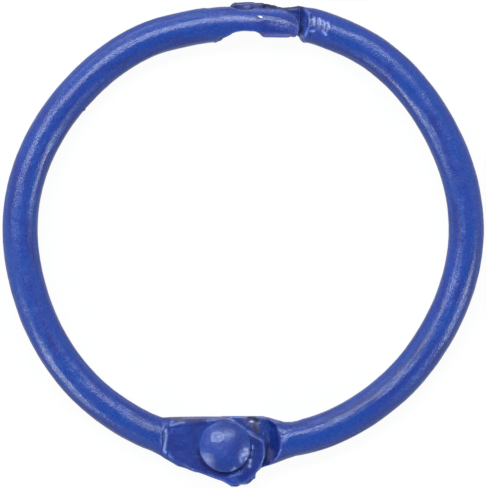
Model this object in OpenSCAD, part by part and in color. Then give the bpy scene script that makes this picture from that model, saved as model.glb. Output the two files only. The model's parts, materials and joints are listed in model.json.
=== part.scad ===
// Hinged snap ring for loose leaves: two half rings of bent wire, flattened and riveted
// together at one end, with half-lapped latch hooks at the other. Both halves have one
// form; the right one is turned over, so that its tab and its hook lie underneath.
// The ring lies flat on the XY plane, with its centre over the origin.

/* [Wire] */
// Thickness of the round wire
wire_d = 2.15; // [2:0.05:2.6]
// Radius of each half's bend, to the middle of the wire
bend_r = 13.25; // [10:0.25:32]
// Bend of the left half, from its rivet hole to its latch step
left_sweep = 186.1; // [184:0.1:188]
// Bend of the right half, from its rivet hole to its latch step
right_sweep = 183.2; // [182:0.1:186]
// Angle by which the clasp leans to the right of the hinge
clasp_lean = 5.2; // [0:0.1:8]

/* [Hinge] */
// Thickness of each half's flattened tab
tab_t = 0.75; // [0.6:0.05:0.85]
// How far the left tab's rounded corner stands out past the rivet's head
left_rim = 0.95; // [0.6:0.05:1.2]
// How far the right tab's round end stands out past the rivet's head
right_rim = 0.6; // [0.55:0.05:1]
// How far the tabs' straight inner side stands out past the head
inner_rim = 0.24; // [0.2:0.02:0.4]
// How far the tabs' sloping outer side stands out past the head
outer_rim = 0.46; // [0.3:0.02:0.6]
// How far the corner cut at the tabs' free end stands out past the head
corner_rim = 0.08; // [0.06:0.02:0.3]
// How far the left hole is punched outside the middle of the wire's bend
left_hole_out = -0.1; // [-0.3:0.05:0.2]
// How far the right hole is punched outside the middle of the wire's bend
right_hole_out = 0.3; // [0:0.05:0.5]
// Width of the coined seat around the rivet's head or tail
seat_w = 2.25; // [2:0.05:2.4]
// Width of the lip left standing along the inner side, at the shoulder
lip_w = 0.55; // [0.3:0.05:0.7]
// Height of that lip
lip_h = 0.12; // [0.05:0.01:0.18]
// Length of the flattened neck, from the other tab's relief to the round wire
neck_l = 1.55; // [1.35:0.1:2.15]

/* [Rivet] */
// Thickness of the rivet's shank
shank_d = 1.4; // [1:0.05:1.8]
// Width of the domed head
head_d = 3.2; // [2.8:0.05:3.3]
// Height of the domed head
head_h = 0.95; // [0.6:0.05:1.3]
// Height of the straight edge under the dome
head_edge = 0.22; // [0.1:0.02:0.4]
// Width of the peened tail
tail_d = 2.7; // [2.2:0.05:3.2]
// Width of the bevel that the peening leaves around the tail
tail_bevel = 0.12; // [0.04:0.02:0.2]

/* [Latch] */
// Length of each hook's nose, from the latch step to its tip
nose_l = 2.28; // [2.1:0.02:2.5]
// How much is trimmed off the nose's inner side
nose_trim = 0.31; // [0.1:0.01:0.4]
// Depth of the pocket in each neck for the other hook's nose
pocket_t = 0.2; // [0.1:0.02:0.35]
// Width of the neck at its waist
waist_w = 1.22; // [1:0.02:1.4]
// How far the waist lies outside the middle of the wire
waist_out = 0.11; // [0:0.01:0.2]
// Radius of the inner notch that makes the waist
notch_r = 2; // [1.6:0.05:2.4]

/* [Clearances] */
// Gap around the shank in the turning tab's hole
pivot_gap = 0.05; // [0.02:0.01:0.08]
// Gap between the tabs, and under the rivet's head
face_gap = 0.03; // [0.02:0.01:0.06]
// Gap between the hooks' lapped noses
lap_gap = 0.04; // [0.02:0.01:0.1]
// Gap between the hooks' latch steps
step_gap = 0.1; // [0.06:0.02:0.2]
// Gap between each nose's tip and the root of the other hook
tip_gap = 0.16; // [0.1:0.02:0.3]
// Gap around each tab in the other half's relief
relief_gap = 0.3; // [0.2:0.05:0.5]

/* [Hidden] */
$fn = 96;
paint_blue = [0.22, 0.3, 0.62];
wire_r = wire_d / 2;
head_r = head_d / 2;
shank_r = shank_d / 2;
// Longer than anything that it cuts through
reach = 3 * wire_d;
// How far a cut starts or ends outside the metal
over = wire_r;
hull_fn = 32;

// Heights are from the lap plane, halfway up the wire, where the two halves meet.
tab_low = face_gap / 2;
tab_high = tab_low + tab_t;
head_low = tab_high + face_gap;

// The tabs, their seats and their relief are all laid out around the rivet's head.
left_tab_r = head_r + left_rim;
right_tab_r = head_r + right_rim;
tab_inner = head_r + inner_rim;
tab_outer = head_r + outer_rim;
outer_slope = 20;
corner_a = 57;
corner_x = (head_r + corner_rim - sin(corner_a) * tab_inner) / cos(corner_a);
bulge_x = -0.3;
bulge_slope = 31;
seat_r = head_r + seat_w;
seat_shoulder_w = 0.1;
relief_r = max(left_tab_r, right_tab_r) + relief_gap;
relief_shoulder_w = 0.6;
lip_gap = 0.07;

// The neck's outer edge runs on to neck_end, and takes in the tab between there and neck_in.
neck_lap = 0.45;
neck_end = relief_r - neck_lap;
neck_taper_l = 1;
neck_in = neck_end + neck_taper_l;
neck_edge = 0.55;
neck_start = relief_r + neck_l;
slice = 0.05;
inset = 0.01;

// Along each hook, distances are from the latch step towards the tip.
inner_waist_x = -0.85;
outer_waist_x = -1.55;
outer_notch_r = 1.9;
nose_inner = wire_r - nose_trim;
nose_r = (wire_r + nose_inner) / 2;
nose_taper = 7;
nose_drop = 0.11;
root_slope = 0.37;

// Angle at the rivet between a half's bend centre and its latch step
function clasp_angle(hole_out, sweep) =
    atan2(-bend_r * sin(sweep), bend_r * (1 - cos(sweep)) + hole_out);
// A half's bend centre, with the rivet at the origin and the half leaning by an angle
function bend_centre(hole_out, lean) = (bend_r + hole_out) * [sin(lean), cos(lean)];
// Angle of wire that an arc length takes up
function arc_angle(length) = length / bend_r * 180 / PI;
// Height of the tab's sloping outer side at a distance along it
function outer_side(x) = -(tab_outer + sin(outer_slope) * x) / cos(outer_slope);

left_lean = clasp_lean - clasp_angle(left_hole_out, left_sweep);
right_lean = -clasp_lean - clasp_angle(right_hole_out, right_sweep);
left_centre = bend_centre(left_hole_out, left_lean);
right_centre = bend_centre(right_hole_out, right_lean);
// The ring's centre, midway between its outermost points
ring_x = (left_centre.x - right_centre.x) / 2;
ring_y = (right_centre.y + bend_r + nose_inner - left_tab_r) / 2;

// Runs along the wire from the hook's tip to the start of the neck
module wire(sweep, lean) {
    tip_a = arc_angle(nose_l + wire_r);
    rotate(270 - lean - sweep - tip_a)
        rotate_extrude(angle = sweep + tip_a - arc_angle(neck_start))
            translate([bend_r, 0])
                circle(r = wire_r);
}

// A thin round slice, just inside the wire's surface
module wire_slice() {
    rotate([90, 0, 0])
        cylinder(r = wire_r - inset, h = 2 * slice, center = true, $fn = hull_fn);
}

// Widens from the round wire to the tab's full width
module neck(centre, lean) {
    hull() {
        translate(centre)
            rotate(270 - lean - arc_angle(neck_start))
                translate([bend_r, 0])
                    wire_slice();
        for (y = [tab_inner - wire_r, outer_side(-neck_end) + wire_r])
            translate([-neck_end, y])
                rotate(-90)
                    wire_slice();
    }
}

// The round seat on the outer face, struck flat for the rivet
module seat() {
    depth = wire_r - tab_high;
    translate([0, 0, tab_high])
        cylinder(
            r1 = seat_r, r2 = seat_r + seat_shoulder_w * (depth + over) / depth, h = depth + over
        );
}

// The sloping relief on the lapped face, which the other half's tab turns in
module relief() {
    depth = wire_r + tab_low;
    translate([0, 0, -wire_r - over])
        cylinder(
            r1 = relief_r + relief_shoulder_w * (depth + over) / depth, r2 = relief_r,
            h = depth + over
        );
}

// The tab's straight sides, with the neck's taper at one end and the corner cut at the other
module tab_sides() {
    corner = [corner_x, tab_inner];
    bulge = [bulge_x, outer_side(bulge_x)];
    polygon([
        [-neck_in, tab_inner - neck_edge], [-neck_end, tab_inner], corner,
        corner + reach * [sin(corner_a), -cos(corner_a)], [reach, -reach],
        bulge + reach * [cos(bulge_slope), -sin(bulge_slope)], bulge,
        [-neck_end, outer_side(-neck_end)], [-neck_in, outer_side(-neck_in) + neck_edge]
    ]);
}

module tab(end_r) {
    linear_extrude(tab_t)
        intersection() {
            tab_sides();
            union() {
                circle(r = end_r);
                translate([-reach, -reach])
                    square([reach - shank_r, 2 * reach]);
            }
        }
}

// Left standing along the inner side, outside the turning head's edge
module lip() {
    linear_extrude(lip_h)
        polygon([
            [-neck_end, tab_inner], [-neck_in, tab_inner - lip_w / 2],
            [-neck_in, tab_inner - lip_w], [corner_x, head_r + lip_gap], [corner_x, tab_inner]
        ]);
}

// Seen from the face, the hook is waisted on both sides and its nose is round.
module hook_outline_cuts() {
    tip_x = nose_l - nose_r;
    translate([inner_waist_x, waist_out - waist_w / 2 - notch_r])
        circle(r = notch_r);
    translate([outer_waist_x, waist_out + waist_w / 2 + outer_notch_r])
        circle(r = outer_notch_r);
    translate([0, -nose_inner])
        rotate(nose_taper)
            translate([0, -reach])
                square([nose_l + wire_r, reach]);
    difference() {
        translate([tip_x, -reach / 2])
            square([reach, reach]);
        translate([tip_x, (wire_r - nose_inner) / 2 - nose_drop])
            circle(r = nose_r);
    }
}

// Seen from the side, half of the wire is left, thinner in the neck than in the nose.
module hook_lap_cut() {
    root = nose_l + tip_gap;
    depth = wire_r + over;
    rotate([90, 0, 0])
        linear_extrude(reach, center = true)
            polygon([
                [-root - root_slope * depth, -depth], [-root, 0], [-root, pocket_t],
                [step_gap / 2, pocket_t], [step_gap / 2, lap_gap / 2],
                [reach, lap_gap / 2], [reach, -depth]
            ]);
}

module hook_cuts(sweep, lean) {
    rotate(180 - lean - sweep)
        translate([0, bend_r]) {
            linear_extrude(reach, center = true)
                hook_outline_cuts();
            hook_lap_cut();
        }
}

// One half, its hole at the origin, its wire leaving to the left and its lapped face down
module half(hole_out, sweep, lean, end_r, hole_r) {
    centre = bend_centre(hole_out, lean);
    difference() {
        union() {
            difference() {
                union() {
                    translate(centre)
                        wire(sweep, lean);
                    neck(centre, lean);
                }
                seat();
                relief();
                translate(centre)
                    hook_cuts(sweep, lean);
            }
            translate([0, 0, tab_low])
                tab(end_r);
            translate([0, 0, tab_high])
                lip();
        }
        cylinder(r = hole_r, h = reach, center = true);
    }
}

// Moves from the rivet's axis and the lap plane to the ring's centre and the floor
module in_ring() {
    translate([-ring_x, -ring_y, wire_r])
        children();
}

module left_half() {
    color(paint_blue)
        in_ring()
            half(left_hole_out, left_sweep, left_lean, left_tab_r, shank_r + pivot_gap);
}

module right_half() {
    color(paint_blue)
        in_ring()
            rotate([0, 180, 0])
                half(right_hole_out, right_sweep, right_lean, right_tab_r, shank_r);
}

// Peened flush with the underside of the wire, and domed above it
module hinge_rivet() {
    dome_h = head_h - head_edge;
    dome_r = (head_r * head_r + dome_h * dome_h) / (2 * dome_h);
    color(paint_blue)
        in_ring() {
            translate([0, 0, -wire_r])
                cylinder(d1 = tail_d - 2 * tail_bevel, d2 = tail_d, h = tail_bevel);
            translate([0, 0, tail_bevel - wire_r])
                cylinder(d = tail_d, h = wire_r - tail_bevel - tab_high);
            translate([0, 0, -wire_r])
                cylinder(d = shank_d, h = wire_r + head_low + head_edge);
            translate([0, 0, head_low])
                cylinder(r = head_r, h = head_edge);
            intersection() {
                translate([0, 0, head_low + head_h - dome_r])
                    sphere(r = dome_r);
                translate([0, 0, head_low + head_edge])
                    cylinder(r = head_r + over, h = head_h);
            }
        }
}

left_half();
right_half();
hinge_rivet();
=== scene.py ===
import json
import math

import bpy
import numpy as np
from mathutils import Matrix, Vector


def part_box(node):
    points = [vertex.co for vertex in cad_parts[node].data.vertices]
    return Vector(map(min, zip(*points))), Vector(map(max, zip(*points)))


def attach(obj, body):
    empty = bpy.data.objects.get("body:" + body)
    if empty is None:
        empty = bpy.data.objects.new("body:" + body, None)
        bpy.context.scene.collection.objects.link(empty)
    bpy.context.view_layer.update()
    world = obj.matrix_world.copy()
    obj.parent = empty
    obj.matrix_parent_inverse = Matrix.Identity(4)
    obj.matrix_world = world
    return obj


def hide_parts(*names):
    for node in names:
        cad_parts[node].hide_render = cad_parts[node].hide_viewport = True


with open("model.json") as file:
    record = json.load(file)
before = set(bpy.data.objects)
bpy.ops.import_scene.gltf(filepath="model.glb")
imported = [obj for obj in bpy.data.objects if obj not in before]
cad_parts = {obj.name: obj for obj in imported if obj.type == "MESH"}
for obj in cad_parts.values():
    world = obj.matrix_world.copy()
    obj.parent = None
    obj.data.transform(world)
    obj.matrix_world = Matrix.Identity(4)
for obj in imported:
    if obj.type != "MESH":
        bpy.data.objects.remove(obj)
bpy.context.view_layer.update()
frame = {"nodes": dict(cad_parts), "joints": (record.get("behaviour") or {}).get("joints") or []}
print("frame loaded")

# Two half rings and a rivet are copied from their solids, meshed finely, coated with paint and worn.
# Pieces are modelled in millimetres and brought to metres at the end.
mm = 0.001
hingeAt = Vector(frame["joints"][0]["pos_m"]) / mm
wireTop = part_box("left_half")[1].z / mm
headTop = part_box("hinge_rivet")[1].z / mm


def pickOnly(piece):
    bpy.ops.object.select_all(action="DESELECT")
    piece.select_set(True)
    bpy.context.view_layer.objects.active = piece


def applyModifier(piece, kind, **settings):
    pickOnly(piece)
    modifier = piece.modifiers.new(kind.title(), kind)
    for name, value in settings.items():
        setattr(modifier, name, value)
    bpy.ops.object.modifier_apply(modifier=modifier.name)


def readPoints(piece):
    points = np.empty(len(piece.data.vertices) * 3)
    piece.data.vertices.foreach_get("co", points)
    return points.reshape(-1, 3)


def readNormals(piece):
    normals = np.empty(len(piece.data.vertices) * 3)
    piece.data.vertex_normals.foreach_get("vector", normals)
    return normals.reshape(-1, 3)


def readEdges(piece):
    edges = np.empty(len(piece.data.edges) * 2, dtype=np.int32)
    piece.data.edges.foreach_get("vertices", edges)
    return edges.reshape(-1, 2)


def writePoints(piece, points):
    piece.data.vertices.foreach_set("co", points.ravel())
    piece.data.update()


def writeAttribute(piece, name, values):
    kind, field = ("FLOAT", "value") if values.ndim == 1 else ("FLOAT_VECTOR", "vector")
    attribute = piece.data.attributes.new(name, kind, "POINT")
    attribute.data.foreach_set(field, values.astype(np.float32).ravel())


def copyOfNode(nodeName, pieceName):
    # The solid's triangles are loose, so its copy is welded.
    weldGap = 0.0001
    piece = bpy.data.objects.new(pieceName, frame["nodes"][nodeName].data.copy())
    bpy.context.collection.objects.link(piece)
    piece.data.materials.clear()
    pickOnly(piece)
    bpy.ops.object.mode_set(mode="EDIT")
    bpy.ops.mesh.select_all(action="SELECT")
    bpy.ops.transform.resize(value=(1 / mm,) * 3, center_override=(0, 0, 0))
    bpy.ops.mesh.remove_doubles(threshold=weldGap)
    bpy.ops.object.mode_set(mode="OBJECT")
    return piece


def addLump(piece, at, size, turn=0):
    # A drop of thick paint, joined to the piece before it is coated
    bpy.ops.object.select_all(action="DESELECT")
    bpy.ops.mesh.primitive_uv_sphere_add(segments=24, ring_count=12, radius=1, location=at)
    lump = bpy.context.active_object
    lump.scale = size
    lump.rotation_euler.z = math.radians(turn)
    bpy.ops.object.transform_apply(location=True, rotation=True, scale=True)
    piece.select_set(True)
    bpy.context.view_layer.objects.active = piece
    bpy.ops.object.join()


def ontoWire(piece, wire, tolerance):
    # Points that lie near the round wire, and face as it does, are put exactly on it.
    points = readPoints(piece)
    flat = points[:, :2] - wire["bendCentre"]
    spine = np.zeros_like(points)
    spine[:, :2] = wire["bendCentre"]
    spine[:, :2] += flat * (wire["bendRadius"] / np.linalg.norm(flat, axis=1))[:, None]
    spine[:, 2] = wireTop / 2
    away = points - spine
    distance = np.linalg.norm(away, axis=1)
    facing = (away * readNormals(piece)).sum(axis=1) / distance
    near = (np.abs(distance - wireTop / 2) < tolerance) & (facing > wire["leastFacing"])
    away *= (wireTop / 2 / distance)[:, None]
    away[:, :2] *= 1 + wire["swell"]  # a little wider than high
    points[near] = (spine + away)[near]
    writePoints(piece, points)


def ripple(piece, waves):
    # Soft waves in the coat, each with its length and its height
    for length, height in waves:
        texture = bpy.data.textures.new(piece.name + "Waves", "CLOUDS")
        texture.noise_scale = length
        texture.noise_depth = 2
        applyModifier(piece, "DISPLACE", texture=texture, strength=height, mid_level=0.5)


def writeFlow(piece, wire):
    # The wire's own directions for its streaks: out from the ring, up, and along the bend
    points = readPoints(piece)
    flat = points[:, :2] - wire["bendCentre"]
    angle = (np.degrees(np.arctan2(flat[:, 1], flat[:, 0])) - wire["flowFrom"]) % 360
    out = np.linalg.norm(flat, axis=1) - wire["bendRadius"]
    # The flat tabs have next to no streaks.
    fromHinge = np.linalg.norm(points[:, :2] - np.array(hingeAt[:2]), axis=1)
    across = np.clip((fromHinge - wire["tabReach"]) / wire["tabFade"], wire["tabStreaks"], 1)
    along = np.radians(angle) * wire["bendRadius"]
    writeAttribute(piece, "flow", np.column_stack([out * across, points[:, 2] * across, along]))


def bendWire(piece, wire):
    # The wire wanders a little from its true bend, by the shifts given at some angles.
    points = readPoints(piece)
    flat = points[:, :2] - wire["bendCentre"]
    first = wire["bends"][0][0]
    angle = (np.degrees(np.arctan2(flat[:, 1], flat[:, 0])) - first) % 360 + first
    shift = np.zeros(len(points))
    for (start, before), (end, after) in zip(wire["bends"], wire["bends"][1:]):
        share = np.clip((angle - start) / (end - start), 0, 1)
        share = share * share * (3 - 2 * share)  # eases in and out
        inside = (angle >= start) & (angle <= end)
        shift[inside] = (before + (after - before) * share)[inside]
    points[:, :2] += flat * (shift / np.linalg.norm(flat, axis=1))[:, None]
    writePoints(piece, points)


def strokeMask(points, path, width):
    # One along the path, fading over its width, as seen from above; a path of one point is a dot.
    nearest = np.full(len(points), np.inf)
    for start, end in zip(path, path[1:] or path):
        start, end = np.array(start), np.array(end)
        along = end - start
        share = ((points[:, :2] - start) @ along) / (along @ along or 1)
        foot = start + np.clip(share, 0, 1)[:, None] * along
        nearest = np.minimum(nearest, np.linalg.norm(points[:, :2] - foot, axis=1))
    return np.exp(-((nearest / width) ** 2))


def nudge(piece, pushes):
    # Each push moves the points near its path, above one height and below another.
    fade = 0.2
    points = readPoints(piece)
    for push in pushes:
        weight = strokeMask(points, push["path"], push["width"])
        weight *= np.clip((points[:, 2] - push.get("above", -wireTop)) / fade, 0, 1)
        weight *= np.clip((push.get("below", 2 * wireTop) - points[:, 2]) / fade, 0, 1)
        points[:, :len(push["move"])] += weight[:, None] * push["move"]
    writePoints(piece, points)


def neighbourMean(edges, values):
    total = np.zeros_like(values)
    share = np.zeros(len(values))
    for one, other in ((0, 1), (1, 0)):
        np.add.at(total, edges[:, one], values[edges[:, other]])
        np.add.at(share, edges[:, one], 1)
    return total / share[:, None]


def wear(piece, spots):
    # Rounds off what stands out near each path
    edges, points = readEdges(piece), readPoints(piece)
    for spot in spots:
        weight = strokeMask(points, spot["path"], spot["width"])[:, None]
        for _ in range(spot["rounds"]):
            points += (neighbourMean(edges, points) - points) * weight
    writePoints(piece, points)


def brush(piece, marks, middle=(0, 0)):
    # Scratches, chips, grime and rust on what faces up, and painted highlights, glints and shade: each mark
    # tints the paint, and may sink or raise it.
    # A mark stays above the wire's middle, or above its own height, and may take in the sides.
    turnFade = 3
    points, normals = readPoints(piece), readNormals(piece)
    tints = {kind: np.zeros(len(points)) for kind in ("paleWearAndLight", "bareAndGlint", "grimeAndShade", "rust", "darkToneAndShade")}
    for mark in marks:
        path = [(x + middle[0], y + middle[1]) for x, y in mark["path"]]
        facing = np.clip(normals[:, 2] * turnFade + mark.get("sides", 0), 0, 1)
        facing *= points[:, 2] > mark.get("above", wireTop / 2)
        stroke = strokeMask(points, path, mark["width"]) * facing
        points += normals * (stroke * mark.get("rise", 0))[:, None]
        tints[mark["kind"]] = np.maximum(tints[mark["kind"]], stroke * mark["strength"])
    writePoints(piece, points)
    for kind, tint in tints.items():
        writeAttribute(piece, kind, tint)


def writeRidges(piece):
    # How far each point stands out of its surroundings, as a share of a full ridge
    rounds, fullRidge = 6, 0.02
    edges, points = readEdges(piece), readPoints(piece)
    around = points
    for _ in range(rounds):
        around = neighbourMean(edges, around)
    standsOut = ((points - around) * readNormals(piece)).sum(axis=1)
    writeAttribute(piece, "ridge", standsOut / fullRidge)


def coatedHalf(nodeName, pieceName, half):
    piece = copyOfNode(nodeName, pieceName)
    for lump in half["lumps"]:
        addLump(piece, **lump)
    applyModifier(piece, "REMESH", mode="VOXEL", voxel_size=half["grain"])
    ontoWire(piece, half["wire"], half["facets"])
    applyModifier(piece, "SMOOTH", factor=0.5, iterations=half["softness"])
    ontoWire(piece, half["wire"], half["facets"])
    ripple(piece, half["waves"])
    writeFlow(piece, half["wire"])
    bendWire(piece, half["wire"])
    nudge(piece, half["pushes"])
    wear(piece, half["worn"])
    brush(piece, half["marks"])
    writeRidges(piece)
    print(pieceName, "coated,", len(piece.data.polygons), "faces")
    return piece


# What the two halves share. Grain is the size of the coat's mesh, and facets is how far the solid's
# flat faces stray from the round wire.
halfCoat = {"grain": 0.069, "softness": 6, "facets": 0.035, "waves": [(1.1, 0.03), (0.3, 0.013)]}
# Each wire's bends are angles round its bend's centre, in degrees, with its shift outwards there.
bentWire = {"bendRadius": 13.25, "swell": 0.02, "leastFacing": 0.85, "tabFade": 1.5, "tabStreaks": 0.2}

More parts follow.
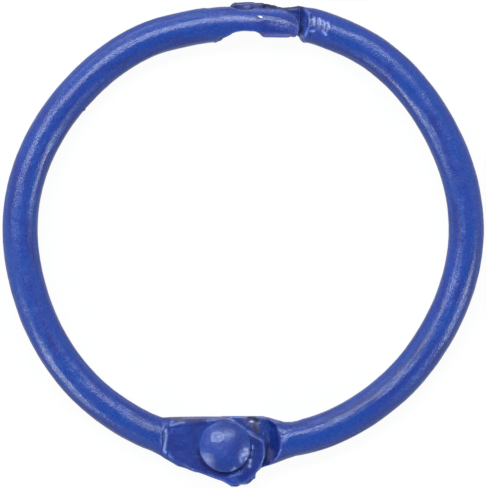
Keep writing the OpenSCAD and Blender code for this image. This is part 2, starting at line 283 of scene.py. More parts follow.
leftLowerWire = [(-6.7, -10.66), (-6.2, -11.03), (-5.71, -11.28), (-5.21, -11.4)]
leftHalf = {
    **halfCoat,
    "wire": {
        **bentWire, "bendCentre": (-0.555, 0.681), "flowFrom": 0, "tabReach": 3,
        "bends": [
            (60, -0.15), (92, -0.15), (102, -0.17), (114, -0.05), (138, -0.13), (171, 0), (198, -0.13),
            (234, 0), (246, 0.04), (252, 0), (420, 0),
        ],
    },
    "lumps": [
        # Along the tab's free end, and on its outer shoulder
        {"at": (-0.42, -14.5, 1.45), "size": (0.56, 0.5, 0.36)},
        {"at": (0.14, -14.32, 1.45), "size": (0.6, 0.56, 0.38)},
        {"at": (0.46, -14.02, 1.45), "size": (0.4, 0.5, 0.37)},
        {"at": (0.86, -13.5, 1.45), "size": (0.42, 0.55, 0.38)},
        {"at": (-4.27, -13.12, 1.4), "size": (1.05, 0.4, 0.4), "turn": -29.5},
    ],
    "pushes": [
        # The hook's inner edge, and the corner where the wire is cut down to it
        {"path": [(0.6, 13.05), (0.95, 12.95)], "width": 0.2, "move": (0, 0.08)},
        {"path": [(1.4, 12.9), (3.05, 12.85)], "width": 0.28, "move": (0, 0.03)},
        {"path": [(-1.42, 12.73), (-1.23, 12.82)], "width": 0.12, "move": (0, 0.1)},
        {"path": [(-0.92, 13.07), (-0.74, 13.16)], "width": 0.12, "move": (0, -0.06)},
        {"path": [(-1.61, 12.62), (-1.45, 12.64)], "width": 0.1, "move": (-0.04, -0.06)},
        # The tab's outer shoulder, and the wire's outer edge before the hook
        {"path": [(-5.3, -13), (-5.09, -13.14)], "width": 0.3, "move": (-0.03, -0.07)},
        {"path": [(-2.1, 14.81), (-0.99, 14.87)], "width": 0.2, "move": (0, -0.045)},
        # Small steps at both ends of the hook's inner edge
        {"path": [(0.82, 13.25), (1.1, 13.16)], "width": 0.15, "move": (0, 0.06)},
        {"path": [(3.05, 12.94), (3.36, 13.01)], "width": 0.15, "move": (0, 0.08)},
        # The tab's outer edge, and the drop at its end
        {"path": [(-3.84, -13.7), (-2.97, -14.01)], "width": 0.3, "move": (-0.02, -0.1)},
        {"path": [(-2.41, -14.14), (-1.48, -14.51)], "width": 0.25, "move": (-0.01, -0.04), "above": 1.1},
        {"path": [(0.72, -14.32)], "width": 0.15, "move": (0.08, -0.12)},
        # The hook's tip, bent down
        {"path": [(3.55, 14.2), (3.6, 13.3)], "width": 0.45, "move": (0, 0, -0.13), "above": 1.3},
        # A nick in the wire's inner side
        {"path": [(-9.81, 8.44)], "width": 0.07, "move": (0.07, -0.04), "above": 0.8, "below": 1.4},
        # The hook's top, tilted, with a wider outer edge
        {"path": [(1.62, 14.47), (2.18, 14.45), (2.62, 14.4), (2.99, 14.25), (3.36, 14)],
         "width": 0.6, "move": (0, 0, 0.07), "above": 1.2},
        {"path": [(1.62, 13.63), (2.18, 13.57), (2.62, 13.5), (2.99, 13.44)],
         "width": 0.6, "move": (0, 0, -0.07), "above": 1.2},
        {"path": [(1.93, 14.5), (2.31, 14.5), (2.74, 14.47)],
         "width": 0.14, "move": (0, 0.1), "above": 1.3},
    ],
    "worn": [
        # The rim of the tab's free end, and its outer shoulder
        {"path": [(0.37, -11.51), (0.94, -11.73), (1.35, -11.9), (1.52, -12.13), (1.5, -12.8)],
         "width": 0.14, "rounds": 16},
        {"path": [(-5.02, -12.89), (-4.46, -13.24), (-3.72, -13.61), (-3.35, -13.76)],
         "width": 0.35, "rounds": 25},
    ],
    "marks": [
        # Shade on the hook's tip and inner side, and a chip in its paint
        {"kind": "darkToneAndShade", "path": [(2.93, 14), (3.24, 13.57), (3.18, 13.19)],
         "width": 0.28, "strength": 0.4},
        {"kind": "darkToneAndShade", "path": [(1.3, 13.2), (2.9, 13.2)], "width": 0.25, "strength": 0.3},
        {"kind": "bareAndGlint", "path": [(1.05, 14.19), (1.24, 14.13)],
         "width": 0.065, "rise": -0.03, "strength": 0.9},
        # The tab's inner edge
        {"kind": "grimeAndShade", "path": [(-4.9, -10.78), (-4.15, -10.75), (-2.6, -10.71), (-1.86, -10.68),
         (0.07, -10.66)], "width": 0.08, "strength": 0.45, "above": 0.3, "sides": 1},
        {"kind": "rust", "path": [(-4.34, -10.75), (-2.6, -10.71), (-1.86, -10.68), (0.07, -10.66)],
         "width": 0.09, "strength": 1.2, "above": 0.3, "sides": 1},
        # The nick in the wire, and one beside the chip
        {"kind": "grimeAndShade", "path": [(-9.81, 8.44)],
         "width": 0.06, "strength": 1, "above": 0.85, "sides": 1},
        {"kind": "grimeAndShade", "path": [(0.9, 14.23), (1.02, 14.02)],
         "width": 0.06, "rise": -0.03, "strength": 1},
        # Ridges in the paint at the tab's shoulder, painted pale as highlights, and a crease beside them
        # painted in shade
        {"kind": "paleWearAndLight", "path": [(-4.73, -11.44), (-4.69, -11.82), (-4.75, -12.31), (-4.82, -12.66),
         (-4.73, -12.83)], "width": 0.075, "rise": 0.045, "strength": 0.5},
        {"kind": "darkToneAndShade", "path": [(-4.89, -11.47), (-4.88, -12.31), (-4.95, -12.75)],
         "width": 0.055, "rise": -0.03, "strength": 0.6},
        {"kind": "paleWearAndLight", "path": [(-4.38, -11.16), (-4.2, -11.13), (-3.84, -11), (-3.58, -10.98)],
         "width": 0.065, "rise": 0.03, "strength": 0.3},
        # The rim of the tab's inner edge: a painted highlight along one part, and rust and painted shade,
        # with duller gloss, along the rest
        {"kind": "paleWearAndLight", "path": [(-2.1, -10.88), (-1.7, -10.84), (-0.1, -10.76)],
         "width": 0.1, "strength": 0.3},
        {"kind": "rust", "path": [(-3.9, -10.88), (-2.6, -10.85), (-1.2, -10.78)],
         "width": 0.14, "strength": 0.5, "sides": 0.5},
        {"kind": "darkToneAndShade", "path": [(-4.1, -10.85), (-3.2, -10.82), (-2.4, -10.82)],
         "width": 0.14, "strength": 0.7, "sides": 0.5},
        {"kind": "grimeAndShade", "path": [(-4.1, -10.9), (-3.5, -10.86), (-2.6, -10.85)],
         "width": 0.16, "strength": 0.75, "sides": 0.5},
        # Shade on the tab and beside the rivet's head
        {"kind": "darkToneAndShade", "path": [(-4.2, -11.9), (-3.3, -11.6)], "width": 0.5, "strength": 0.42},
        {"kind": "darkToneAndShade", "path": [(-4.2, -12.4), (-3.2, -12.9), (-2.4, -13.8)],
         "width": 0.55, "strength": 0.58},
        {"kind": "darkToneAndShade", "path": [(0.8, -12), (1.15, -12.5), (1, -13.2), (0.7, -13.9), (0, -14.4)],
         "width": 0.38, "strength": 0.8},
        {"kind": "darkToneAndShade", "path": [(-3.04, -11.34), (-2.54, -11.16)], "width": 0.4, "strength": 0.5},
        {"kind": "darkToneAndShade", "path": [(-2.73, -12.75), (-2.5, -13.38), (-2.13, -13.82), (-1.6, -14.1),
         (-0.86, -14.2)], "width": 0.18, "strength": 1.1},
        {"kind": "darkToneAndShade", "path": [(-2.9, -11.4), (-2.95, -12.4), (-2.7, -13.3), (-2.2, -13.9)],
         "width": 0.35, "strength": 0.55},
        # The rim of the tab's free end: a faint painted highlight, with painted shade beside it
        {"kind": "paleWearAndLight", "path": [(0.37, -11.51), (0.94, -11.73), (1.35, -11.9), (1.52, -12.13),
         (1.55, -12.4), (1.41, -12.89), (1.37, -13.33), (1.21, -13.64)], "width": 0.07, "rise": 0.01,
         "strength": 0.08},
        {"kind": "darkToneAndShade", "path": [(0.37, -11.61), (0.77, -11.84)], "width": 0.08, "strength": 0.6},
        {"kind": "darkToneAndShade", "path": [(-0.6, -10.75), (0, -11.1), (0.26, -11.3)],
         "width": 0.2, "strength": 0.7},
        # A crease at the free end painted in shade, and drops with painted glints
        {"kind": "darkToneAndShade", "path": [(0.52, -12.52), (0.53, -13.27)],
         "width": 0.08, "rise": -0.05, "strength": 1.2},
        {"kind": "paleWearAndLight", "path": [(0.66, -12.46), (0.66, -12.61)],
         "width": 0.06, "rise": 0.04, "strength": 0.6},
        {"kind": "paleWearAndLight", "path": [(0.6, -12.8), (0.59, -13.06)],
         "width": 0.05, "rise": 0.04, "strength": 0.45},
        {"kind": "paleWearAndLight", "path": [(0.53, -13.3), (0.52, -13.53)],
         "width": 0.07, "rise": 0.04, "strength": 0.4},
        {"kind": "paleWearAndLight", "path": [(0.48, -13.68)], "width": 0.09, "rise": 0.03, "strength": 0.6},
        # Darker spots and pale edges between the drops
        {"kind": "grimeAndShade", "path": [(-0.02, -13.61), (0.32, -13.67)], "width": 0.12, "strength": 0.75},
        {"kind": "darkToneAndShade", "path": [(-0.24, -13.91), (0.01, -13.83)],
         "width": 0.12, "rise": -0.03, "strength": 0.9},
        {"kind": "paleWearAndLight", "path": [(-0.78, -14.35), (-0.43, -14.24), (-0.07, -14.15)],
         "width": 0.08, "rise": 0.015, "strength": 0.15},
        {"kind": "grimeAndShade", "path": [(-0.68, -14.96), (-0.24, -14.89)],
         "width": 0.08, "strength": 1, "above": 0.3},
        {"kind": "paleWearAndLight", "path": [(-0.12, -14.88), (0.26, -14.82)],
         "width": 0.07, "strength": 0.6, "above": 0.3},
        {"kind": "grimeAndShade", "path": [(0.79, -14.42), (0.84, -14.23)],
         "width": 0.06, "strength": 0.8, "above": 0.3},
        # A painted highlight along the top of the wire and the hook
        {"kind": "paleWearAndLight", "path": [(-2.23, 14.06), (-1.23, 14.16), (-0.12, 14.16), (1, 14.06)],
         "width": 0.14, "strength": 0.13},
        # Painted shade and duller gloss on the lower wire's inner side, which dim its highlight there
        {"kind": "grimeAndShade", "path": leftLowerWire, "width": 0.25, "strength": 0.18},
        {"kind": "darkToneAndShade", "path": leftLowerWire, "width": 0.3, "strength": 0.35},
        # The hook's inner and outer rims, painted pale as highlights, and a greyish line along its inner edge
        {"kind": "paleWearAndLight", "path": [(1.44, 12.99), (2.99, 13.01)],
         "width": 0.07, "strength": 0.12, "above": 0.6},
        {"kind": "rust", "path": [(1, 13.07), (2.06, 13.04), (3.05, 13.04)],
         "width": 0.12, "strength": 0.6, "above": 0.2, "sides": 1},
        {"kind": "paleWearAndLight", "path": [(-0.12, 14.59), (1.25, 14.56), (2.06, 14.53), (2.8, 14.47)],
         "width": 0.1, "strength": 0.14},
    ],
}

rightLowerWire = [(11.64, -5.41), (10.36, -7.23), (8.78, -8.81), (6.96, -10.09), (5.35, -10.87)]
rightHalf = {
    **halfCoat,
    "wire": {
        **bentWire, "bendCentre": (0.555, 0.995), "flowFrom": 180, "tabReach": 2,
        "bends": [
            (-80, 0), (-72, 0.05), (-50, -0.02), (-33, -0.05), (0, 0.13), (30, 0.01), (54, 0.09),
            (70, -0.03), (77, -0.06), (84, -0.17), (100, -0.17), (120, 0), (280, 0),
        ],
    },
    "lumps": [],
    "pushes": [
        # The outer edge and end of the nose, and the corners of the neck
        {"path": [(0.9, 15.15), (1.35, 15.05), (1.87, 14.99)], "width": 0.2, "move": (-0.02, -0.1)},
        {"path": [(2.87, 14.75), (3.42, 14.81)], "width": 0.2, "move": (0, 0.06)},
        {"path": [(-0.68, 14.87), (-0.43, 14.96)], "width": 0.2, "move": (-0.1, 0.08)},
        {"path": [(3.61, 12.79)], "width": 0.15, "move": (0, 0.14)},
        {"path": [(4.1, 13.3), (4.05, 13)], "width": 0.18, "move": (-0.14, 0), "above": 1.2},
        {"path": [(3.89, 12.66)], "width": 0.12, "move": (0, -0.05)},
        {"path": [(-0.12, 15.12), (0.5, 15.12)], "width": 0.2, "move": (0, -0.06)},
        {"path": [(1.87, 14.99), (2.18, 14.87)], "width": 0.15, "move": (0, -0.05)},
        # The neck's cut face slopes: it comes forward, and more so lower down.
        {"path": [(4.1, 14.7), (4.05, 13)], "width": 0.3, "move": (-0.05, 0)},
        {"path": [(4.1, 14.7), (4.05, 13)], "width": 0.3, "move": (-0.12, 0), "below": 1.85},
        {"path": [(4.05, 14.7), (4, 13)], "width": 0.3, "move": (-0.12, 0), "below": 1.6},
        {"path": [(3.95, 14.7), (3.9, 13)], "width": 0.3, "move": (-0.12, 0), "below": 1.35},
        # The tab's inner corner
        {"path": [(1.37, -10.72), (1.75, -11.03)], "width": 0.4, "move": (0.3, -0.08), "above": 1},
        # A crease at the foot of the neck
        {"path": [(3.58, 14.9), (3.6, 14)], "width": 0.08, "move": (0, 0, -0.07), "above": 0.6},
        # The tab's inner shoulder and its free end
        {"path": [(2.24, -10.84), (2.62, -10.91)], "width": 0.3, "move": (0, -0.08)},
        {"path": [(2.7, -10.95), (3.4, -10.9)], "width": 0.3, "move": (0, -0.06)},
        {"path": [(-2.29, -14.32), (-1.61, -14.63)], "width": 0.3, "move": (0.05, 0.08)},
    ],
    "worn": [
        # The tab's shoulder, the neck's crest and the neck's foot
        {"path": [(1.87, -10.72), (2.24, -11.09), (2.37, -11.59), (2.34, -12.21), (2.06, -13.02)],
         "width": 0.15, "rounds": 10},
        {"path": [(3.98, 14.5), (3.98, 13.25)], "width": 0.2, "rounds": 6},
        {"path": [(3.65, 14.8), (3.65, 14.1)], "width": 0.14, "rounds": 6},
    ],
    "marks": [
        # Grip marks by the clasp: pale ridges, then grooves darkened with painted shade
        {"kind": "paleWearAndLight", "path": [(4.41, 14.03), (4.54, 14.09), (4.47, 13.81), (4.5, 13.63)],
         "width": 0.07, "rise": 0.03, "strength": 0.42},
        {"kind": "paleWearAndLight", "path": [(4.79, 14.07), (4.88, 13.97), (4.93, 13.65)],
         "width": 0.07, "rise": 0.03, "strength": 0.45},
        {"kind": "paleWearAndLight", "path": [(5.04, 13.94), (5.14, 13.75), (5.13, 13.41)],
         "width": 0.06, "rise": 0.03, "strength": 0.42},
        {"kind": "paleWearAndLight", "path": [(5.32, 13.8), (5.44, 13.5)],
         "width": 0.09, "rise": 0.03, "strength": 0.45},
        {"kind": "paleWearAndLight", "path": [(5.06, 13.22), (5.21, 13.06)],
         "width": 0.08, "rise": 0.025, "strength": 0.55},
        {"kind": "paleWearAndLight", "path": [(4.7, 13.85), (5.3, 13.65), (5.2, 13.4), (4.7, 13.5)],
         "width": 0.2, "strength": 0.16},
        {"kind": "paleWearAndLight", "path": [(4.29, 13.27), (4.48, 13.29)],
         "width": 0.07, "rise": 0.03, "strength": 0.5},
        {"kind": "darkToneAndShade", "path": [(5, 13.72), (4.96, 13.35)],
         "width": 0.07, "rise": -0.05, "strength": 1.3},
        {"kind": "darkToneAndShade", "path": [(5.28, 13.63), (5.2, 13.29)],
         "width": 0.07, "rise": -0.05, "strength": 1.3},
        {"kind": "darkToneAndShade", "path": [(5.55, 13.84), (5.54, 13.5)],
         "width": 0.06, "rise": -0.04, "strength": 0.8},
        {"kind": "darkToneAndShade", "path": [(4.31, 13.35), (4.25, 13.07)],
         "width": 0.08, "rise": -0.03, "strength": 0.8},
        {"kind": "darkToneAndShade", "path": [(4.69, 14.03), (4.68, 13.44)],
         "width": 0.06, "rise": -0.04, "strength": 0.8},
        # The nose beside the hook: painted shade, rust and pale edges
        {"kind": "darkToneAndShade", "path": [(1.37, 14.95), (2.06, 14.75), (2.87, 14.62)],
         "width": 0.25, "strength": 0.9, "above": 0.2},
        {"kind": "darkToneAndShade", "path": [(-0.92, 14.84), (-0.55, 14.99), (-0.05, 15.09), (0.75, 15.06),
         (1.25, 14.93)], "width": 0.12, "strength": 1.1, "above": 0.2, "sides": 1},
        {"kind": "darkToneAndShade", "path": [(-0.6, 14.8), (0.2, 14.8), (1.3, 14.75)],
         "width": 0.25, "strength": 1.1, "above": 0.2},
        {"kind": "rust", "path": [(-0.3, 14.95), (0.9, 14.95), (2, 14.75)],
         "width": 0.16, "strength": 0.25, "above": 0.2},
        {"kind": "paleWearAndLight", "path": [(-0.1, 14.9), (1, 14.88)],
         "width": 0.08, "strength": 0.12, "above": 0.2},
        {"kind": "grimeAndShade", "path": [(1.37, 14.96), (1.62, 14.9), (2.06, 14.76)],
         "width": 0.15, "strength": 1.3, "above": 0.2, "sides": 1},
        {"kind": "grimeAndShade", "path": [(2.06, 14.76), (2.93, 14.65)],
         "width": 0.13, "strength": 0.6, "above": 0.2, "sides": 1},
        {"kind": "paleWearAndLight", "path": [(0.19, 14.84), (0.44, 14.85)],
         "width": 0.09, "strength": 0.35, "above": 0.2},
        # The neck: a groove, rust, painted shade, pale rims, and painted light in the dark gap at the hook's
        # tip
        {"kind": "darkToneAndShade", "path": [(4.31, 14.25), (4.31, 13.69)],
         "width": 0.07, "rise": -0.06, "strength": 1},
        {"kind": "rust", "path": [(3.92, 14), (3.85, 13.4)],
         "width": 0.16, "strength": 0.35, "above": 0.6, "sides": 1},
        {"kind": "darkToneAndShade", "path": [(3.18, 14.56), (3.55, 14.62), (3.8, 14.37)],
         "width": 0.25, "strength": 0.55, "above": 0.6, "sides": 1},
        {"kind": "grimeAndShade", "path": [(2.8, 14.75), (3.11, 14.81), (3.55, 14.84), (3.86, 14.78)],
         "width": 0.13, "strength": 1.1, "above": 0.2, "sides": 1},
        {"kind": "darkToneAndShade", "path": [(3.55, 14.68), (3.57, 13.94)],
         "width": 0.14, "strength": 0.7, "above": 0.2, "sides": 1},
        {"kind": "paleWearAndLight", "path": [(3.61, 13.69), (3.64, 13.07)],
         "width": 0.12, "strength": 0.2, "above": 0.2, "sides": 1},
        {"kind": "darkToneAndShade", "path": [(3.18, 14.56), (3.42, 14), (3.55, 13.5), (3.36, 13.01)],
         "width": 0.2, "strength": 0.4, "above": 0.2},
        {"kind": "paleWearAndLight", "path": [(3.7, 12.95), (3.5, 12.8)],
         "width": 0.12, "strength": 0.3, "above": 0.2},
        # The tab's inner edge: grime, a dark gap painted in shade, bare metal with its glint painted in, and
        # rust
        {"kind": "grimeAndShade", "path": [(0.47, -10.7), (0.73, -10.7), (0.95, -10.9)],
         "width": 0.13, "rise": -0.06, "strength": 1.4, "above": 0.3, "sides": 1},
        {"kind": "bareAndGlint", "path": [(0.45, -10.93), (0.68, -10.97)],
         "width": 0.12, "rise": -0.03, "strength": 0.62, "above": 0.3},
        {"kind": "rust", "path": [(0.66, -11.16), (0.85, -11.1), (0.95, -11.3)],
         "width": 0.17, "strength": 0.8, "above": 0.3},
        {"kind": "grimeAndShade", "path": [(0.75, -11.1), (0.9, -11.5)],
         "width": 0.2, "strength": 0.95, "above": 0.3},
        {"kind": "rust", "path": [(0.07, -10.69), (1, -10.69), (1.75, -10.75), (2.24, -10.97)],
         "width": 0.1, "strength": 0.9, "above": 0.3, "sides": 1},
        {"kind": "rust", "path": [(0.1, -10.78), (0.4, -11.1)],
         "width": 0.14, "strength": 0.6, "above": 0.3},
        # Shade and rust beside the other tab's free end
        {"kind": "darkToneAndShade", "path": [(0.07, -10.84), (0.35, -11.03), (0.75, -11.4), (1, -11.59)],
         "width": 0.2, "strength": 0.8, "above": 0.3},
        {"kind": "darkToneAndShade", "path": [(1.65, -12.09), (1.59, -12.83), (1.41, -13.39)],
         "width": 0.13, "strength": 0.9, "above": 0.2},
        {"kind": "rust", "path": [(1.78, -12.83), (1.75, -13.3)],
         "width": 0.17, "strength": 1, "above": 0.2},
        # A line of painted shade across the nose
        {"kind": "grimeAndShade", "path": [(1.36, 15.05), (1.4, 14.85)],
         "width": 0.09, "strength": 1.2, "above": 0.2, "sides": 1},
        # Painted shade and duller gloss on the lower wire's inner side, which dim its highlight there
        {"kind": "grimeAndShade", "path": rightLowerWire, "width": 0.3, "strength": 0.22},
        {"kind": "darkToneAndShade", "path": rightLowerWire, "width": 0.3, "strength": 0.2},
        # Shade on the tab, and a pale spot on its shoulder
        {"kind": "darkToneAndShade", "path": [(1.37, -11.1), (1.4, -11.9)],
         "width": 0.3, "strength": 0.3, "above": 0.3},
        {"kind": "darkToneAndShade", "path": [(2.09, -11.22), (2.21, -11.84), (2.15, -12.58), (1.93, -13.27)],
         "width": 0.28, "strength": 0.75, "above": 0.2},
        {"kind": "paleWearAndLight", "path": [(2.71, -11.86), (2.6, -12.09)], "width": 0.14, "strength": 0.25},
        # Darker at the neck's inner corner
        {"kind": "grimeAndShade", "path": [(3.61, 12.98), (3.86, 12.76)],
         "width": 0.12, "strength": 0.4, "above": 0.2, "sides": 0.5},
    ],
}

leftPiece = coatedHalf("left_half", "left_half_painted", leftHalf)
rightPiece = coatedHalf("right_half", "right_half_painted", rightHalf)

# Heights are measured up from the head's seat, and the marks' places from the hinge.
rivetHead = {
    "grain": 0.045, "softness": 8, "facets": 0.02, "waves": [(0.9, 0.02), (0.3, 0.005)],
    "headRadius": 1.6, "edgeHeight": 0.22, "height": 0.95, "paintedRise": 0.56,
    "paint": {"peelHeight": 0.25, "streakHeight": 0.5, "smoothest": 0.31, "roughest": 0.38},
    "marks": [
        # A faint raised ring with a dot and a pit in it: the ring and dot are painted pale as part of the
        # dome's highlight, the pit in shade
        {"kind": "paleWearAndLight", "path": [(-0.748, 0.894), (-0.345, 0.932), (-0.096, 0.714), (-0.084, 0.466),
         (-0.314, 0.311), (-0.78, 0.335), (-0.873, 0.528), (-0.748, 0.894)], "width": 0.09, "rise": 0.015,
         "strength": 0.16},
        {"kind": "paleWearAndLight", "path": [(-0.401, 0.609)], "width": 0.1, "rise": 0.01, "strength": 0.4},
        {"kind": "darkToneAndShade", "path": [(-0.401, 0.46)], "width": 0.06, "rise": -0.01, "strength": 0.4},
        # Light and shade over the dome
        {"kind": "darkToneAndShade", "path": [(-0.2, 1.35), (0.7, 1.1), (0.85, 0.5), (0.8, -0.1)],
         "width": 0.35, "strength": 0.5},
        {"kind": "paleWearAndLight", "path": [(-0.4, 0.2), (-0.1, -0.3)], "width": 0.4, "strength": 0.05},
        {"kind": "darkToneAndShade", "path": [(-0.7, -1.2), (0, -1.3), (0.7, -1.1)], "width": 0.45, "strength": 0.35},
        {"kind": "darkToneAndShade", "path": [(-0.873, 0.186), (-0.376, 0.106)], "width": 0.06, "strength": 0.6},
        {"kind": "paleWearAndLight", "path": [(-1.463, -0.373), (-1.276, -0.714), (-0.997, -1.025), (-0.748, -1.273)],
         "width": 0.1, "strength": 0.12},
        # Pale flecks along the rim, chips with painted glints, and rust
        {"kind": "paleWearAndLight", "path": [(1.208, -0.155), (1.382, -0.155)],
         "width": 0.1, "rise": 0.015, "strength": 0.4},
        {"kind": "paleWearAndLight", "path": [(1.084, -0.528), (1.407, -0.422)],
         "width": 0.15, "rise": 0.02, "strength": 0.45},
        {"kind": "paleWearAndLight", "path": [(0.947, -0.652), (0.991, -0.932)],
         "width": 0.1, "rise": 0.015, "strength": 0.35},
        {"kind": "rust", "path": [(1.239, -0.932), (1.394, -1.025)], "width": 0.1, "strength": 0.7},
        {"kind": "paleWearAndLight", "path": [(1.301, -0.776)], "width": 0.08, "strength": 0.7},
        {"kind": "paleWearAndLight", "path": [(0.587, -1.335), (0.463, -1.522)], "width": 0.1, "strength": 0.4},
    ],
}


def domeRadius(across, rise):
    return (across ** 2 + rise ** 2) / (2 * rise)


def ontoDome(piece, head):
    # The rivet's dome comes out a little flatter under its paint, with a rounder rim.
    points = readPoints(piece)
    rise = head["height"] - head["edgeHeight"]
    radius = domeRadius(head["headRadius"], rise)
    away = points - np.array([hingeAt.x, hingeAt.y, headTop - radius])
    onDome = np.abs(np.linalg.norm(away, axis=1) - radius) < head["facets"]
    onDome &= points[:, 2] > headTop - rise
    flatter = domeRadius(head["headRadius"], head["paintedRise"])
    out = np.minimum(np.linalg.norm(away[onDome, :2], axis=1), head["headRadius"])
    points[onDome, 2] = headTop - flatter + np.sqrt(flatter ** 2 - out ** 2)
    writePoints(piece, points)


def coatedRivet(nodeName, pieceName, head):
    piece = copyOfNode(nodeName, pieceName)
    applyModifier(piece, "REMESH", mode="VOXEL", voxel_size=head["grain"])
    ontoDome(piece, head)
    applyModifier(piece, "SMOOTH", factor=0.5, iterations=head["softness"])
    ripple(piece, head["waves"])
    brush(piece, head["marks"], hingeAt)
    writeAttribute(piece, "flow", readPoints(piece))
    writeRidges(piece)
    print(pieceName, "coated,", len(piece.data.polygons), "faces")
    return piece


rivetPiece = coatedRivet("hinge_rivet", "hinge_rivet_painted", rivetHead)


def feed(material, socket, value):
    if isinstance(value, bpy.types.NodeSocket):
        material.node_tree.links.new(value, socket)
    else:
        socket.default_value = value


def addNode(material, kind, inputs=None, **settings):
    node = material.node_tree.nodes.new("ShaderNode" + kind)
    for name, value in settings.items():
        setattr(node, name, value)
    for name, value in (inputs or {}).items():
        feed(material, node.inputs[name], value)
    return node


def mixColour(material, amount, below, above):
    mix = addNode(material, "Mix", {0: amount, 6: below, 7: above}, data_type="RGBA")
    return mix.outputs[2]


def combine(material, how, one, other):
    return addNode(material, "Math", {0: one, 1: other}, operation=how).outputs[0]


def ramp(material, value, source, target=(0, 1)):
    # Takes a value from one range to another, and stops it at both ends
    graded = addNode(material, "MapRange", {
        "Value": value, "From Min": source[0], "From Max": source[1],
        "To Min": target[0], "To Max": target[1],
    })
    return graded.outputs[0]


def noise(material, place, scale, detail=3):
    made = addNode(material, "TexNoise", {"Vector": place, "Scale": scale, "Detail": detail})
    return made.outputs["Fac"]


def surfaceValue(material, name):
    return addNode(material, "Attribute", attribute_name=name).outputs["Fac"]


def emptyMaterial(name):
    material = bpy.data.materials.new(name)
    material.use_nodes = True
    material.node_tree.nodes.clear()
    return material


def srgb(red, green, blue):
    # A colour as a screen shows it, turned into the renderer's linear one
    return tuple(((c / 255 + 0.055) / 1.055) ** 2.4 for c in (red, green, blue)) + (1,)


paintBlue = {
    # The pale, deep and edge colours also paint highlights and shade, the grime colour paints shade too, and
    # the bare colour paints the glint of bare metal.
    "blue": srgb(14, 49, 121), "violet": srgb(27, 45, 118), "worn": srgb(40, 69, 140),
    "edge": srgb(90, 110, 182), "darkToneAndShade": srgb(12, 21, 86), "paleWearAndLight": srgb(156, 172, 228),
    "grimeAndShade": srgb(20, 24, 50), "bareAndGlint": srgb(205, 208, 235), "rust": srgb(84, 80, 122),
    # Patterns, with their scales in waves to a millimetre
    "speckleScale": 8, "patchScale": 0.9, "glossScale": 2.5, "peelScale": 10, "peelDetail": 4,
    "streakScale": 2.2, "streakDetail": 1, "streakStretch": 0.16,
    # Where each tint begins and where it is full
    "violetRange": (1, 1.5), "wornRange": (0.45, 0.9), "shadeRange": (0.5, 0.72),
    "edgeRange": (0.7, 1.6), "hollowRange": (0.3, 2), "deepRange": (0, 1.1),
    "patchyRange": (0.3, 0.6), "bareRange": (0.45, 0.7),
    # How much each pattern does
    "streakTint": 1.5, "streakShade": 0.35, "edgeRagged": 0.5, "edgeShare": 0.35, "hollowShare": 0.35,
    "patchyLeast": 0.4, "bareRagged": 0.8,
    # Gloss and relief
    "glossRange": (0.3, 0.7), "smoothest": 0.25, "roughest": 0.34, "grimeRoughness": 0.4, "specular": 0.38,
    "peelHeight": 0.55, "streakHeight": 2, "reliefStrength": 0.6, "reliefDepth": 0.055,
}


def freshColour(material, paint, fine, broad, streak):
    # Blue that drifts to violet, with worn specks and darker streaks along the wire
    mottle = combine(material, "ADD", broad, combine(material, "MULTIPLY", streak, paint["streakTint"]))
    colour = mixColour(material, ramp(material, mottle, paint["violetRange"]), paint["blue"], paint["violet"])
    colour = mixColour(material, ramp(material, fine, paint["wornRange"]), colour, paint["worn"])
    shady = combine(material, "MULTIPLY", ramp(material, streak, paint["shadeRange"]), paint["streakShade"])
    return mixColour(material, shady, colour, paint["darkToneAndShade"])


def shadedColour(material, paint, fine, colour):
    # Ridges are painted paler, as wear and as a painted highlight, and hollows and the marked places are
    # darkened as painted shade.
    ridge = surfaceValue(material, "ridge")
    ragged = combine(material, "ADD", ridge, combine(material, "MULTIPLY", fine, paint["edgeRagged"]))
    edge = combine(material, "MULTIPLY", ramp(material, ragged, paint["edgeRange"]), paint["edgeShare"])
    colour = mixColour(material, edge, colour, paint["edge"])
    sunk = ramp(material, combine(material, "MULTIPLY", ridge, -1), paint["hollowRange"])
    hollow = combine(material, "MULTIPLY", sunk, paint["hollowShare"])
    colour = mixColour(material, hollow, colour, paint["darkToneAndShade"])
    shade = ramp(material, surfaceValue(material, "darkToneAndShade"), paint["deepRange"])
    return mixColour(material, shade, colour, paint["darkToneAndShade"])


def markedColour(material, paint, fine, colour):
    # Rust, grime and pale wear, and the painted shade and highlights among them, lie in patches, and bare
    # metal, with its glint painted in, has a ragged edge.
    patchy = ramp(material, fine, paint["patchyRange"], (paint["patchyLeast"], 1))
    for kind in ("rust", "grimeAndShade", "paleWearAndLight"):
        amount = combine(material, "MULTIPLY", surfaceValue(material, kind), patchy)
        colour = mixColour(material, ramp(material, amount, (0, 1)), colour, paint[kind])
    noiseMiddle = 0.5
    ragged = combine(material, "SUBTRACT", fine, noiseMiddle)
    ragged = combine(material, "MULTIPLY", ragged, paint["bareRagged"])
    chipped = combine(material, "ADD", surfaceValue(material, "bareAndGlint"), ragged)
    return mixColour(material, ramp(material, chipped, paint["bareRange"]), colour, paint["bareAndGlint"])


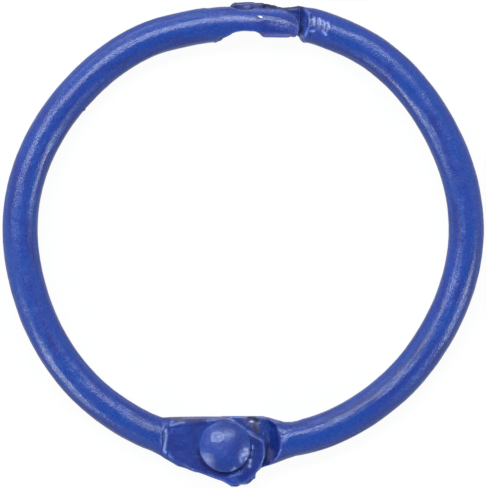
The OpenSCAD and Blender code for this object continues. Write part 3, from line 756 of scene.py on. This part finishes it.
def bluePaint(name, paint):
    material = emptyMaterial(name)
    # Object coordinates are in metres, and the wire's flow is in millimetres.
    place = addNode(material, "TexCoord").outputs["Object"]
    fine = noise(material, place, paint["speckleScale"] / mm)
    broad = noise(material, place, paint["patchScale"] / mm)
    flow = addNode(material, "Attribute", attribute_name="flow").outputs["Vector"]
    stretched = addNode(material, "Mapping", {"Vector": flow, "Scale": (1, 1, paint["streakStretch"])})
    streak = noise(material, stretched.outputs[0], paint["streakScale"], paint["streakDetail"])
    colour = freshColour(material, paint, fine, broad, streak)
    colour = shadedColour(material, paint, fine, colour)
    colour = markedColour(material, paint, fine, colour)
    gloss = noise(material, place, paint["glossScale"] / mm)
    rough = ramp(material, gloss, paint["glossRange"], (paint["smoothest"], paint["roughest"]))
    dulled = combine(material, "MULTIPLY", surfaceValue(material, "grimeAndShade"), paint["grimeRoughness"])
    peel = noise(material, place, paint["peelScale"] / mm, paint["peelDetail"])
    peel = combine(material, "MULTIPLY", peel, paint["peelHeight"])
    height = combine(material, "ADD", peel, combine(material, "MULTIPLY", streak, paint["streakHeight"]))
    bump = addNode(material, "Bump", {
        "Height": height, "Strength": paint["reliefStrength"], "Distance": paint["reliefDepth"] * mm,
    })
    shader = addNode(material, "BsdfPrincipled", {
        "Base Color": colour, "Roughness": combine(material, "ADD", rough, dulled),
        "Normal": bump.outputs[0], "Specular IOR Level": paint["specular"],
    })
    addNode(material, "OutputMaterial", {"Surface": shader.outputs[0]})
    return material


def handIn(piece, nodeName, body, material):
    piece.data.transform(Matrix.Scale(mm, 4))
    piece.data.materials.append(material)
    pickOnly(piece)
    bpy.ops.object.shade_smooth()
    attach(piece, body)
    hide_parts(nodeName)


paint = bluePaint("thickBluePaint", paintBlue)
headPaint = bluePaint("evenBluePaint", {**paintBlue, **rivetHead["paint"]})
handIn(leftPiece, "left_half", "left_side", paint)
handIn(rightPiece, "right_half", "right_side", paint)
handIn(rivetPiece, "hinge_rivet", "right_side", headPaint)
print("pieces ready")

white = (1, 1, 1, 1)
# Sizes and distances in metres, angles in degrees, powers in watts
studio = {
    "floorSide": 1.2, "floorDrop": 0.00001, "floorColour": (0.65, 0.65, 0.65, 1),
    "floorGlow": 0.94, "floorShine": 0.7,
    "worldStrength": 0.2, "darkening": (0.2, 0.95), "zenith": 0.15,
    "lampDistance": 0.5,
    "lamps": [
        {"name": "keyLight", "azimuth": 108, "elevation": 61, "size": (0.7, 0.12), "power": 4.5,
         "colour": (0.89, 0.96, 1)},
        {"name": "topFill", "azimuth": 118, "elevation": 12, "size": (0.4, 0.16), "power": 0.7,
         "colour": (1, 1, 1)},
        {"name": "rightRim", "azimuth": -20, "elevation": 27, "size": (0.12, 0.09), "power": 1.3,
         "colour": (0.87, 0.96, 1)},
        {"name": "leftRim", "azimuth": 217, "elevation": 27, "size": (0.14, 0.09), "power": 1.3,
         "colour": (0.87, 0.96, 1)},
    ],
}


def whiteFloor(settings):
    # White to the camera, a little darker in the paint's gloss, and grey for the light it throws back
    bpy.ops.object.select_all(action="DESELECT")
    bpy.ops.mesh.primitive_plane_add(size=settings["floorSide"], location=(0, 0, -settings["floorDrop"]))
    floor = bpy.context.active_object
    floor.name = "floor"
    material = emptyMaterial("whiteFloor")
    rays = addNode(material, "LightPath").outputs
    seen = combine(material, "MAXIMUM", rays["Is Camera Ray"], rays["Is Transmission Ray"])
    shine = combine(material, "MULTIPLY", rays["Is Glossy Ray"], settings["floorShine"])
    strength = combine(material, "MAXIMUM", seen, shine)
    seen = combine(material, "MAXIMUM", seen, rays["Is Glossy Ray"])
    share = combine(material, "MULTIPLY", seen, settings["floorGlow"])
    matte = addNode(material, "BsdfDiffuse", {"Color": settings["floorColour"]})
    glow = addNode(material, "Emission", {"Color": white, "Strength": strength})
    mixed = addNode(material, "MixShader", {0: share, 1: matte.outputs[0], 2: glow.outputs[0]})
    addNode(material, "OutputMaterial", {"Surface": mixed.outputs[0]})
    floor.data.materials.append(material)


def whiteWorld(settings):
    # White to the camera, dim as a light, and darker overhead in the paint's gloss
    world = bpy.data.worlds.new("studio")
    bpy.context.scene.world = world
    world.use_nodes = True
    rays = addNode(world, "LightPath").outputs
    upward = addNode(world, "SeparateXYZ", {"Vector": addNode(world, "TexCoord").outputs["Generated"]})
    overhead = ramp(world, upward.outputs["Z"], settings["darkening"], (1, settings["zenith"]))
    shine = combine(world, "MULTIPLY", rays["Is Glossy Ray"], overhead)
    seen = combine(world, "MAXIMUM", rays["Is Camera Ray"], rays["Is Transmission Ray"])
    seen = combine(world, "MAXIMUM", seen, shine)
    background = world.node_tree.nodes["Background"].inputs
    feed(world, background["Strength"], combine(world, "MAXIMUM", seen, settings["worldStrength"]))
    feed(world, background["Color"], white)


def addLamp(name, azimuth, elevation, size, power, colour, distance):
    light = bpy.data.lights.new(name, "AREA")
    light.shape = "RECTANGLE"
    light.size, light.size_y = size
    light.energy = power
    light.color = colour
    holder = bpy.data.objects.new(name, light)
    bpy.context.collection.objects.link(holder)
    turn, tilt = math.radians(azimuth), math.radians(elevation)
    away = Vector((math.cos(turn) * math.cos(tilt), math.sin(turn) * math.cos(tilt), math.sin(tilt)))
    holder.location = away * distance
    holder.rotation_euler = away.to_track_quat("Z", "Y").to_euler()


whiteFloor(studio)
whiteWorld(studio)
for lamp in studio["lamps"]:
    addLamp(distance=studio["lampDistance"], **lamp)
bpy.context.scene.view_settings.view_transform = "Standard"
print("studio ready")

# The camera looks straight down from far off. Its frame and aim are in millimetres.
view = {"lens": 500, "sensor": 36, "frameHeight": 30.31, "aim": (0.07, 0.085)}
cameraData = bpy.data.cameras.new("camera")
cameraData.lens = view["lens"]
cameraData.sensor_width = view["sensor"]
camera = bpy.data.objects.new("camera", cameraData)
bpy.context.collection.objects.link(camera)
height = view["frameHeight"] * view["lens"] / view["sensor"] + wireTop / 2
camera.location = Vector((*view["aim"], height)) * mm
bpy.context.scene.camera = camera
